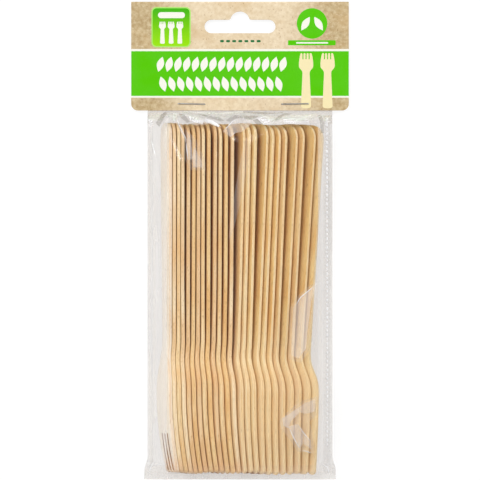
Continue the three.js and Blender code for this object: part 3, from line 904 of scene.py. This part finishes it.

# Folds where the film lies over itself, as outlines in the layout that place() reads. Their pale
# milky film is painted reflection of the lamps.
REFLECTING_FOLDS = [
    [(186, 116), (194, 116.8), (201, 118.5), (220, 127.7), (214, 126.8), (209.8, 124.8),
     (202.3, 126.4), (193, 126), (188, 119.3)],
    [(223, 132.7), (232.3, 122.7), (237.3, 120.2), (253, 120.6), (254, 122.7), (245.2, 130.2),
     (241, 133), (235.7, 133.8), (230.7, 138)],
    [(256.4, 119), (263.5, 116), (273.5, 116.8), (276, 120.2), (271.8, 124), (264.8, 125.6),
     (261, 123)],
    [(174, 114), (177.5, 117), (187, 140), (186.5, 144), (181, 133), (176, 123)],
    [(188, 133), (191.5, 142), (192.8, 160), (188, 161), (186.8, 146)],
    [(194.5, 148), (201.5, 160), (203, 168), (193.5, 168.3), (192.8, 158)],
    [(292.5, 309), (300, 297), (309, 290), (317, 283), (311, 300), (307, 330), (305.5, 348),
     (298, 357.5), (290.5, 354.5)],
    [(282, 417), (296, 407.5), (304, 402), (315, 398), (314.5, 410), (306, 412.5), (299, 411),
     (290, 420), (288, 427), (283, 424)],
    [(288, 425), (297, 422.5), (303, 432), (302, 442), (299, 447), (294, 438)],
    [(303.5, 432), (310, 439), (311, 448), (303, 442)],
    [(150, 122), (153, 120), (155, 124), (152, 131), (149.5, 128)],
    [(176, 112), (200, 112.6), (217, 113.6), (243, 112.3), (243, 113.6), (217, 115.2), (200, 113.8),
     (176, 113.2)],
    [(244, 112.6), (255, 112.9), (255, 114.2), (244, 114)],
    [(276.5, 117), (290, 115.4), (318, 114.4), (315, 119), (317, 124), (277, 125), (273, 123)],
    [(148.6, 113), (163, 112), (161, 119), (155, 121.5), (149, 120)],
]
# Pleats at the card where several layers lie together and show white, partly painted highlight, and
# tucks of dark film, painted shade of folds turned away from the light.
PLEATS = [
    [(184, 111.4), (200, 112.4), (217, 113.2), (243, 111.8), (243, 113.4), (217, 115), (200, 114),
     (184, 112.6)],
    [(168, 117), (172, 115.6), (172.5, 118), (168.5, 119)],
    [(173, 113), (178, 114.5), (177, 117), (175.5, 122.5), (173.6, 122)],
    [(205, 119.5), (213, 121.5), (220, 126.5), (219, 128.2), (210, 124), (204, 122)],
    [(189, 117.2), (200, 118.4), (205, 120.4), (203, 125.5), (196, 124), (190, 121)],
    [(257, 119.6), (264, 117), (272, 118), (274.5, 120), (270, 122.4), (265, 124.6)],
    [(282, 118.5), (291, 116), (312, 115.2), (308, 120), (309, 124.5), (284, 124.5)],
    [(325.2, 118), (328, 118.4), (327.6, 126.5), (324.8, 126)],
    [(148.8, 120.5), (152.5, 119.6), (154, 124), (150.5, 128.6)],
]
TUCKS = [
    [(156.5, 124.5), (160.5, 116), (164.5, 112.5), (167.5, 113.2), (163.5, 121), (160, 128)],
    [(226, 121.6), (233, 116), (243, 116.6), (243, 119), (236, 119.4), (230, 123)],
    [(244, 116.8), (253, 116.2), (258.5, 117.4), (252, 120.6), (244, 120)],
    [(252.6, 121.4), (256.6, 119.6), (262.4, 124.8), (258, 126.4)],
    [(274, 121), (278, 117), (284, 113.6), (292, 114.2), (282, 117), (277.5, 122.6)],
    [(198, 114.6), (208, 116), (220, 118.4), (224.5, 121.6), (221, 122.4), (208, 118.6)],
    [(179, 114.2), (185, 116), (190.5, 123), (187.6, 124), (181.5, 119)],
    [(317.5, 116), (321, 115), (323.5, 124), (323.5, 134), (320.5, 134), (319.5, 123)],
    [(243, 111.6), (256, 112.2), (276, 113.2), (283, 112.4), (283, 113.4), (262, 115), (243, 113)],
]
# Soft sheens of the film over the forks.
SHEENS = [
    [(246, 138), (250, 152), (246, 176), (240, 205), (233, 232), (229, 240), (231, 214), (236, 186),
     (241, 158)],
    [(289, 309), (297, 296), (307, 287), (320, 279), (314, 300), (310, 330), (308, 350), (300, 362),
     (288, 358)],
    [(279, 419), (294, 404), (303, 399), (318, 395), (317, 413), (309, 420), (313, 440), (313, 452),
     (298, 450), (289, 438), (281, 427)],
    [(186, 130), (196, 140), (205, 160), (206, 171), (191, 171), (184, 158)],
    [(148.6, 150), (150.4, 150), (151.6, 330), (149.4, 330)],
    [(154, 180), (156.4, 178), (156, 420), (153.4, 424)],
    [(149, 350), (151, 346), (153.5, 460), (150, 464)],
    [(331, 140), (332.6, 138), (332.8, 460), (331.4, 462)],
    [(319, 300), (321, 298), (322, 420), (319.4, 424)],
]
# The lengthwise seam: a strip of film with pressed dots.
SEAM_STRIP = [[(323, 116), (330, 116), (330, 472), (323, 472)]]
SEAM_AT = 326.4
SEAM_DOTS = 74
SEAM_PITCH = 2
SEAM_FROM_CARD = 7
SEAM_DOT = (0.5, 0.62)  # half its size across and along the seam
LARGE_DOT, SMALL_DOT, DOT_TOP = 1.1, 0.82, 0.7  # shares of that size
DOT_LIFT = 0.3  # over the front panel
DOT_HEIGHT = 0.16
# Sharp folds of the film, as lines in the same layout, drawn in white frosted film as painted
# highlights. Each is a narrow pressed ridge, whose edges lie as high as the wide folds.
FOLD_LIFT = 0.2
GLINT_LIFT = 0.34
GLINT_WIDTH = 0.4
GLINT_STEP = 0.8
GLINTS = [
    [(176, 117), (180, 127), (187, 141)],
    [(174.3, 114), (175.8, 123)],
    [(201, 118.5), (210, 123.5), (220, 127.8)],
    [(186, 116), (194, 117), (201, 118.8)],
    [(223, 132.6), (232.3, 122.7), (237.3, 120.3)],
    [(256.4, 119), (264, 125.4), (272, 124.2), (276, 120.5)],
    [(186.6, 144), (188.4, 160.6)],
    [(168, 118), (172, 116.6)],
    [(316.5, 119), (321, 116)],
    [(292.5, 309), (300, 297), (317, 283)],
    [(288, 425), (294, 438), (299, 447)],
    [(297, 422.5), (303.5, 432), (310.5, 440)],
    [(302, 449), (306, 449.6), (310, 451.5)],
    [(149.4, 473), (152, 464), (156, 459)],
    [(322, 463), (327, 466), (329, 474)],
    [(151.5, 140), (156, 156)],
]


def triangulate(coords, rings, xs, ys, low, high):
    """The points and the triangles of some rings of points, each triangle with the rings
    that it lies in. The triangles follow lines across, which are at some places."""
    lines = [((x, low.y), (x, high.y)) for x in xs] + [((low.x, y), (high.x, y)) for y in ys]
    edges = []
    for line in lines:
        edges.append((len(coords), len(coords) + 1))
        coords += [Vector(end) for end in line]
    verts, _, tris, _, _, origin = delaunay_2d_cdt(coords, edges, rings, 1, 1e-4)
    return verts, list(zip(tris, origin))


def on_film(bm, x, y, lift):
    """A point over the bag's front panel."""
    return bm.verts.new((x, y, front_height(x, y) + lift))


def seam_mesh():
    """The pressed dots of the lengthwise seam by the right crease."""
    bm = bmesh.new()
    x = place(SEAM_AT, 0).x
    for number in range(SEAM_DOTS):
        y = CARD_EDGE - SEAM_FROM_CARD - SEAM_PITCH * number
        size = SMALL_DOT if number % 2 else LARGE_DOT
        z = front_height(x, y) + DOT_LIFT
        dx, dy = SEAM_DOT[0] * size, SEAM_DOT[1] * size
        base, top = [
            [bm.verts.new((x + share * i * dx, y + share * j * dy, at)) for i, j in CORNERS]
            for share, at in ((1, z), (DOT_TOP, z + DOT_HEIGHT))
        ]
        bm.faces.new(top)
        bridge(bm, [base, top], closed=True)
    return to_mesh(bm, "film_seam_mesh")


def fold_mesh(name, outlines, lift=FOLD_LIFT):
    """Patches of film as thin sheets that follow the front panel just above it: folds with painted
    reflection, sheens, pleats, tucks and the seam strip.
    """
    bm = bmesh.new()
    margin = Vector((1, 1))
    for outline in outlines:
        points = [place(px, py) for px, py in outline]
        if sum(a.cross(b) for a, b in zip(points, points[1:] + points[:1])) < 0:
            points.reverse()
        low, high = [Vector([end(c) for c in zip(*points)]) for end in (min, max)]
        xs, ys = [[a + k for k in range(1, int(b - a) + 1)] for a, b in zip(low, high)]
        ring = list(range(len(points)))
        verts, tris = triangulate(points, [ring], xs, ys, low - margin, high + margin)
        made = [on_film(bm, v.x, v.y, lift) for v in verts]
        for tri, inside in tris:
            if inside:
                bm.faces.new([made[k] for k in tri])
    drop_loose(bm)
    return smooth(to_mesh(bm, name + "_mesh"), 40)


def glint_mesh():
    """Narrow ridges of film along some lines, tapering to their ends."""
    bm = bmesh.new()
    for line in GLINTS:
        points = [place(px, py) for px, py in line]
        path = [points[0]]
        for a, b in zip(points, points[1:]):
            parts = max(1, round((b - a).length / GLINT_STEP))
            path += [a.lerp(b, k / parts) for k in range(1, parts + 1)]
        rows = []
        for k, p in enumerate(path):
            run = run_at(path, k)
            half = GLINT_WIDTH / 2 * math.sin(math.pi * (k + 0.4) / len(path))
            left, right = [p + Vector((-run.y, run.x)) * half * side for side in (-1, 1)]
            sides = [(left, FOLD_LIFT), (p, GLINT_LIFT), (right, FOLD_LIFT)]
            rows.append([on_film(bm, q.x, q.y, lift) for q, lift in sides])
        bridge(bm, rows)
    return to_mesh(bm, "film_glints_mesh")


piece("film_seam", seam_mesh(), [films["frosted_and_glint"]], "film")
for name, outlines, kind, *lift in (
    ("film_folds", REFLECTING_FOLDS, "folded"),
    ("film_sheens", SHEENS, "faint", 0.12),
    ("film_pleats", PLEATS, "pleated"),
    ("film_tucks", TUCKS, "tucked"),
    ("film_seam_strip", SEAM_STRIP, "strip"),
):
    piece(name, fold_mesh(name, outlines, *lift), [films[kind]], "film")
piece("film_glints", glint_mesh(), [films["frosted_and_glint"]], "film")


# The card and its print


def rounded(x0, y0, x1, y1, radius, steps=5):
    """A rectangle between two layout places, with round corners of a radius."""
    (ax, by), (bx, ay) = place(x0, y0), place(x1, y1)
    r = min(radius, (bx - ax) / 2, (by - ay) / 2)
    if not r:
        return [Vector((ax, ay)), Vector((bx, ay)), Vector((bx, by)), Vector((ax, by))]
    out = arc(bx - r, ay + r, r, 270, 360, steps) + arc(bx - r, by - r, r, 0, 90, steps)
    return out + arc(ax + r, by - r, r, 90, 180, steps) + arc(ax + r, ay + r, r, 180, 270, steps)


def leaf(px, py, length, width, tilt, steps=9):
    """A pointed leaf round a layout place; length and width in millimetres, tilt in degrees."""
    centre = place(px, py)
    up = [Vector((width / 2 * math.sin(math.pi * k / steps), length * (k / steps - 0.5)))
          for k in range(steps)]
    down = [Vector((-p.x, -p.y)) for p in up]
    turn = Matrix.Rotation(math.radians(tilt), 2)
    return [centre + turn @ p for p in up + down]


def fork_picture(px, top, bottom, width):
    """A fork picture with its tines up, between two heights of the layout."""
    centre, foot = place(px, top), place(px, bottom)
    scale = (centre.y - foot.y) / FORK_LENGTH
    across = width / HEAD_WIDTH
    return [Vector((centre.x - p.x * across, centre.y - p.y * scale)) for p in fork_outline()]


def slot_outline():
    """The hang slot: a bar with round ends and a round notch in its upper edge."""
    y = CARD_TOP - SLOT_FROM_FOLD
    end = SLOT_HEIGHT / 2
    reach = SLOT_LENGTH / 2 - end
    bump = BUMP_HEIGHT - BUMP_RADIUS
    rise = SLOT_HEIGHT + BUMP_FILLET - bump
    apart = math.sqrt((BUMP_RADIUS + BUMP_FILLET) ** 2 - rise**2)
    turn = math.degrees(math.atan2(rise, apart))
    fillet = y + SLOT_HEIGHT + BUMP_FILLET
    points = arc(-reach, y + end, end, 270, 90, 16)
    points += arc(-apart, fillet, BUMP_FILLET, -90, -turn, 6)
    points += arc(0, y + bump, BUMP_RADIUS, 180 - turn, turn, 20)
    points += arc(apart, fillet, BUMP_FILLET, 180 + turn, 270, 6)
    return points + arc(reach, y + end, end, 90, -90, 16)


def card_outline():
    """The front flap, with its two lower corners round."""
    half, r = CARD_WIDTH / 2, CARD_CORNER_RADIUS
    top = CARD_TOP - (CARD_FRONT - CARD_BACK) / 2
    points = arc(-half + r, CARD_EDGE + r, r, 180, 270, 8)
    points += arc(half - r, CARD_EDGE + r, r, 270, 360, 8)
    return points + [Vector((half, top)), Vector((-half, top))]


# The card's inks, by their place among its materials, after plain kraft.
GREEN, WHITE, BADGE, CREAM, DARK, LIME = range(1, 7)


# The print, in the layout that place() reads. A box has its left, top, right and bottom
# edge and the radius of its corners; radii, lengths and widths are in millimetres.
BAND_RIM = (100, 49.3, 380, 98, 0)
BAND = (100, 51.5, 380, 96.2, 0)
BADGE_RIM = (151.5, 7.4, 190.8, 47.6, 2.2)
BADGE_FIELD = (152.7, 8.6, 189.6, 46.4, 1.8)
BADGE_BAR = (158, 12.5, 185, 18.5, 1.4)
SMALL_FORKS_AT = (162.5, 171.2, 179.9)
SMALL_FORK = (22, 44, 3.1)  # top, foot and width
LARGE_FORKS_AT = (306, 327.5)
LARGE_FORK = (53.5, 108.5, 6.6)
LEAF = (7.2, 3.3)  # length and width
# Each row of leaves has its count, its first place, its pitch, its height and its tilt.
LEAF_ROWS = ((15, 160.5, 8.75, 64.6, -16), (14, 163, 8.9, 84.3, 16))
DISC_AT = (312, 23.8)
DISC_RADIUS = 7.0
DISC_LEAF = (24, 7.4, 3.1)  # height in the layout, length and width
DISC_LEAVES = ((305.5, -32), (318.5, 32))  # place and tilt
SIGN = (288, 40.6, 335.5, 45.6, 0.3)
SIGN_LINE = (296, 42.4, 328, 43.9, 0.3)
DASH = (220, 40.3, 224, 42.6, 0.5)
DASH_COUNT = 7
DASH_PITCH = 6.1


def card_print():
    """What is printed, each shape with its ink; later ones lie over earlier ones."""
    boxes = [(BAND_RIM, WHITE), (BAND, GREEN)]
    boxes += [(BADGE_RIM, LIME), (BADGE_FIELD, BADGE), (BADGE_BAR, WHITE)]
    shapes = [(rounded(*box), ink) for box, ink in boxes]
    shapes += [(fork_picture(px, *SMALL_FORK), WHITE) for px in SMALL_FORKS_AT]
    for count, px, pitch, py, tilt in LEAF_ROWS:
        shapes += [(leaf(px + pitch * k, py, *LEAF, tilt), WHITE) for k in range(count)]
    shapes.append((arc(*place(*DISC_AT), DISC_RADIUS, 0, 352.5, 47), GREEN))
    shapes += [(leaf(px, *DISC_LEAF, tilt), WHITE) for px, tilt in DISC_LEAVES]
    shapes += [(rounded(*SIGN), GREEN), (rounded(*SIGN_LINE), WHITE)]
    shapes += [(fork_picture(px, *LARGE_FORK), CREAM) for px in LARGE_FORKS_AT]
    left, top, right, bottom, radius = DASH
    for k in range(DASH_COUNT):
        step = DASH_PITCH * k
        shapes.append((rounded(left + step, top, right + step, bottom, radius), DARK))
    return shapes


CARD_GRID = 5  # between the lines of points that let the card bow
CARD_BOW = 0.22


def card_warp(x, y):
    """The slight bow of the card, which is none at its fold and at its middle."""
    down = (CARD_TOP - y) / CARD_HEIGHT
    return CARD_BOW * down * (x / (CARD_WIDTH / 2)) ** 2


def card_fold(bm):
    """The round fold that joins the two flaps: its faces and its ends."""
    outer = (CARD_FRONT - CARD_BACK) / 2
    inner = outer - CARD_THICKNESS
    xs = [-CARD_WIDTH / 2 + CARD_GRID * k for k in range(CARD_WIDTH // CARD_GRID + 1)]
    turns = [math.pi * k / 12 for k in range(13)]

    def point(x, radius, angle):
        y = CARD_TOP - outer
        z = CARD_BACK + outer + radius * math.cos(angle) + card_warp(x, y)
        return bm.verts.new((x, y + radius * math.sin(angle), z))

    for radius, way in ((outer, 1), (inner, -1)):
        bridge(bm, [[point(x, radius, angle) for x in xs] for angle in turns], way)
    for x in (xs[0], xs[-1]):
        for t, u in zip(turns, turns[1:]):
            corners = ((outer, t), (outer, u), (inner, u), (inner, t))
            bm.faces.new([point(x, radius, angle) for radius, angle in corners])


def card_mesh():
    """The card with its print: two flaps of real thickness, the slot and the fold."""
    outline, slot_hole, shapes = card_outline(), slot_outline()[::-1], card_print()
    coords, rings = [], []
    for points in [outline, slot_hole] + [points for points, _ in shapes]:
        rings.append(list(range(len(coords), len(coords) + len(points))))
        coords += points
    xs = [CARD_GRID * k for k in range(-9, 10)]
    ys = [CARD_EDGE + CARD_GRID * k for k in range(1, 10)]
    reach = CARD_WIDTH / 2 + 2
    low, high = Vector((-reach, CARD_EDGE - 1)), Vector((reach, CARD_TOP + 1))
    verts, tris = triangulate(coords, rings, xs, ys, low, high)
    bm = bmesh.new()

    def panel(z, way, printed=False):
        made = [bm.verts.new((v.x, v.y, z + card_warp(v.x, v.y))) for v in verts]
        for tri, inside in tris:
            if 0 not in inside or 1 in inside:
                continue
            face = bm.faces.new([made[k] for k in tri[::way]])
            if printed and max(inside) > 1:
                face.material_index = shapes[max(inside) - 2][1]

    def wall(points, low):
        for a, b in zip(points, points[1:]):
            levels = ((a, low), (b, low), (b, low + CARD_THICKNESS), (a, low + CARD_THICKNESS))
            corners = [(p.x, p.y, z + card_warp(p.x, p.y)) for p, z in levels]
            bm.faces.new([bm.verts.new(corner) for corner in corners])

    rim = []
    for a, b in zip([outline[-1]] + outline, outline[:-1]):
        parts = max(1, round((b - a).length / CARD_GRID))
        rim += [a.lerp(b, k / parts) for k in range(parts)]
    rim.append(outline[-2])
    for base in (CARD_FRONT - CARD_THICKNESS, CARD_BACK):
        panel(base + CARD_THICKNESS, 1, base > CARD_BACK)
        panel(base, -1)
        wall(rim, base)
        wall(slot_hole + slot_hole[:1], base)
    drop_loose(bm)
    card_fold(bm)
    bmesh.ops.remove_doubles(bm, verts=bm.verts, dist=1e-4)
    bmesh.ops.recalc_face_normals(bm, faces=bm.faces)
    return smooth(to_mesh(bm, "header_card_mesh"), 40)


badge_low, badge_high = place(0, 46).y, place(0, 10).y
CARD_INKS = [
    kraft_material(),
    ink_material("ink_green", srgb(84, 195, 0)),
    ink_material("ink_white", srgb(240, 239, 228)),
    ink_material("ink_badge", srgb(150, 222, 6), srgb(64, 176, 12), badge_low, badge_high),
    ink_material("ink_cream", srgb(240, 226, 178)),
    ink_material("ink_dark_green", srgb(34, 110, 60)),
    ink_material("ink_lime", srgb(170, 226, 110)),
]
piece("header_card_sheet", card_mesh(), CARD_INKS, "kraft_card", "header_card")


# The staples


def staple_mesh(x, tilt):
    """Round wire bent to a staple: crown in front, legs through, ends clinched behind."""
    half, inner, bend, sides = CROWN_LENGTH / 2, CROWN_LENGTH / 2 - CLINCH_LENGTH, 0.55, 12
    high, low = CARD_FRONT + STAPLE_CLEARANCE + WIRE / 2, WIRE / 2
    corners = [(-inner, low), (-half, low), (-half, high), (half, high), (half, low), (inner, low)]
    corners = [Vector(corner) for corner in corners]
    path = corners[:1]
    for before, corner, after in zip(corners, corners[1:], corners[2:]):
        a, b = [corner + bend * (p - corner).normalized() for p in (before, after)]
        path += [a] + bezier([a, corner, b], 5)
    path.append(corners[-1])
    bm = bmesh.new()
    rings = []
    for k, p in enumerate(path):
        run = run_at(path, k)
        out = Vector((-run.y, run.x))
        ring = []
        for s in range(sides):
            t = 2 * math.pi * s / sides
            o = out * (WIRE / 2 * math.cos(t))
            y = WIRE * 0.56 * math.sin(t)
            ring.append(bm.verts.new((p.x + o.x, y, p.y + o.y)))
        rings.append(ring)
    bridge(bm, rings, closed=True)
    bm.faces.new(rings[0][::-1])
    bm.faces.new(rings[-1])
    bmesh.ops.recalc_face_normals(bm, faces=bm.faces)
    bmesh.ops.rotate(bm, verts=bm.verts, matrix=Matrix.Rotation(math.radians(tilt), 3, "Z"))
    bmesh.ops.translate(bm, verts=bm.verts, vec=(x, CARD_EDGE + STAPLE_FROM_EDGE, 0))
    return smooth(to_mesh(bm, "staple_mesh"), 50)


steel = steel_material()
for (name, x), tilt in zip(STAPLES.items(), (-1.0, 0.7)):
    piece(name + "_wire", staple_mesh(x, tilt), [steel], "staple_wire", name)


# The stage


def floor_material():
    """White paper: it shows as white to the camera and keeps a soft shadow."""
    n = Nodes("studio_floor")
    path = n.add("ShaderNodeLightPath").outputs
    seen = n.math("MAXIMUM", path["Is Camera Ray"], path["Is Glossy Ray"])
    seen = n.math("MAXIMUM", seen, path["Is Transmission Ray"])
    plain = n.add("ShaderNodeBsdfDiffuse", {"Color": (0.82, 0.82, 0.82)})
    part = n.add("ShaderNodeBsdfDiffuse", {"Color": (0.18, 0.18, 0.18)})
    glow = n.add("ShaderNodeEmission", {"Color": (1, 1, 1), "Strength": 0.86})
    both = n.add("ShaderNodeAddShader", {0: part.outputs[0], 1: glow.outputs[0]})
    return n.surface(n.blend(seen, plain, both))


def studio_world():
    """Soft light from all round, weaker from high up and white from straight above. The
    camera sees plain white."""
    n = Nodes("studio", owners=bpy.data.worlds, kind="World")
    way = n.add("ShaderNodeTexCoord").outputs["Generated"]
    height = n.add("ShaderNodeSeparateXYZ", {0: way}).outputs["Z"]
    dome = n.add("ShaderNodeValToRGB", {"Fac": height})
    stops = dome.color_ramp.elements
    stops[0].color = (0.85, 0.85, 0.85, 1)
    for at, level in ((0.3, 0.7), (0.62, 0.5), (0.8, 0.52), (0.93, 0.4)):
        stops.new(at).color = (level, level, level, 1)
    seen = n.add("ShaderNodeLightPath").outputs["Is Camera Ray"]
    level = n.add("ShaderNodeMix", {"Factor": seen, "A": dome.outputs["Color"], "B": 1.0})
    look = {"Color": (1, 1, 1), "Strength": level.outputs["Result"]}
    return n.surface(n.add("ShaderNodeBackground", look))


def softbox(name, at, size, power):
    """A square lamp that faces the pack."""
    light = bpy.data.lights.new(name, "AREA")
    light.size, light.energy = size, power
    lamp = add_object(name, light)
    lamp.location = at
    lamp.rotation_euler = (-Vector(at)).to_track_quat("-Z", "Y").to_euler()


FLOOR_HALF = 4  # half its size in metres
FLOOR_LEVEL = -0.0002
floor = bpy.data.meshes.new("floor")
corners = [(FLOOR_HALF * i, FLOOR_HALF * j, FLOOR_LEVEL) for i, j in CORNERS]
floor.from_pydata(corners, [], [(0, 1, 2, 3)])
floor.materials.append(floor_material())
add_object("floor", floor)

bpy.context.scene.world = studio_world()
softbox("key", (-0.75, 0.6, 1.6), 0.7, 13.5)
softbox("fill", (1.2, 0.9, 1.0), 0.5, 11)
softbox("side", (-1.3, -0.1, 0.5), 0.9, 1.1)

# The camera: far above the pack, looking straight down on it.
DISTANCE = 2.6
SENSOR = 36
PIXELS = 480
camera_data = bpy.data.cameras.new("camera")
camera_data.sensor_width = SENSOR
camera_data.lens = SENSOR * DISTANCE / (PIXELS * STEP * MM)
camera_data.clip_end = 20
camera = add_object("camera", camera_data)
camera.location = (0, 0, DISTANCE)
bpy.context.scene.camera = camera

bpy.context.scene.view_settings.view_transform = "Standard"
